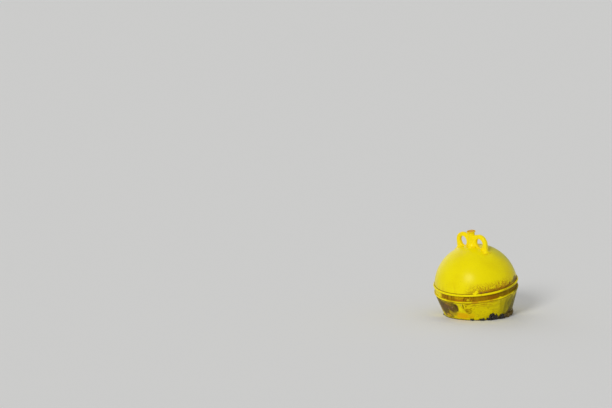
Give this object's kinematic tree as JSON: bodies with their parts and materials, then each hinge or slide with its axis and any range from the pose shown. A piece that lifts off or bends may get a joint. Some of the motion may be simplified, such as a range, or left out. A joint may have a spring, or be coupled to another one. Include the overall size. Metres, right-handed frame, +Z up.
{
  "type": "marker buoy",
  "caption": "Round-topped marker buoy with a tapering lower hull, rim belt, two lifting eyes, a top post, and a through rod with swivel and bow shackle.",
  "frame": {"origin": "on the buoy's upright axis, at its waterline", "axes": "+Z up along the buoy's axis; +X towards one lifting eye, so both eyes lie in the XZ plane; +Y along the eyes' holes and the shackle's pin"},
  "size_m": [0.7976, 0.7974, 1.3443],
  "materials": {
    "yellow_plastic": "moulded, weathered by sun and salt",
    "head_plastic": "moulded, cleaner and deeper yellow than the float",
    "hull_plastic": "moulded, stained brown, with growth at the waterline and below",
    "rusty_steel": "rusted, orange to dark brown",
    "galvanised_steel": "dull zinc with rust at the edges",
    "sea_growth": "clumps of black and brown mussel shells"
  },
  "bodies": {
    "float": {"dome_shell": "yellow_plastic", "hull_shell": "hull_plastic", "filling_plug": "hull_plastic", "mussel_growth": "sea_growth", "top_post": "head_plastic", "lifting_eye_right": "head_plastic", "lifting_eye_left": "head_plastic", "mooring_rod": "rusty_steel", "bottom_plate": "galvanised_steel", "rod_nut": "rusty_steel", "stem_nut": "rusty_steel"},
    "swivel": {"swivel": "rusty_steel"},
    "shackle": {"shackle_bow": "rusty_steel", "shackle_pin": "galvanised_steel", "shackle_nut": "galvanised_steel"}
  },
  "joints": [
    {"name": "swivel_turn", "type": "hinge", "parent": "float", "child": "swivel", "pos_m": [0, 0, -0.345], "axis": [0, 0, 1], "continuous": true},
    {"name": "shackle_swing", "type": "hinge", "parent": "swivel", "child": "shackle", "pos_m": [0, 0, -0.4163], "axis": [0, 1, 0], "range_deg": [-120, 120]}
  ]
}
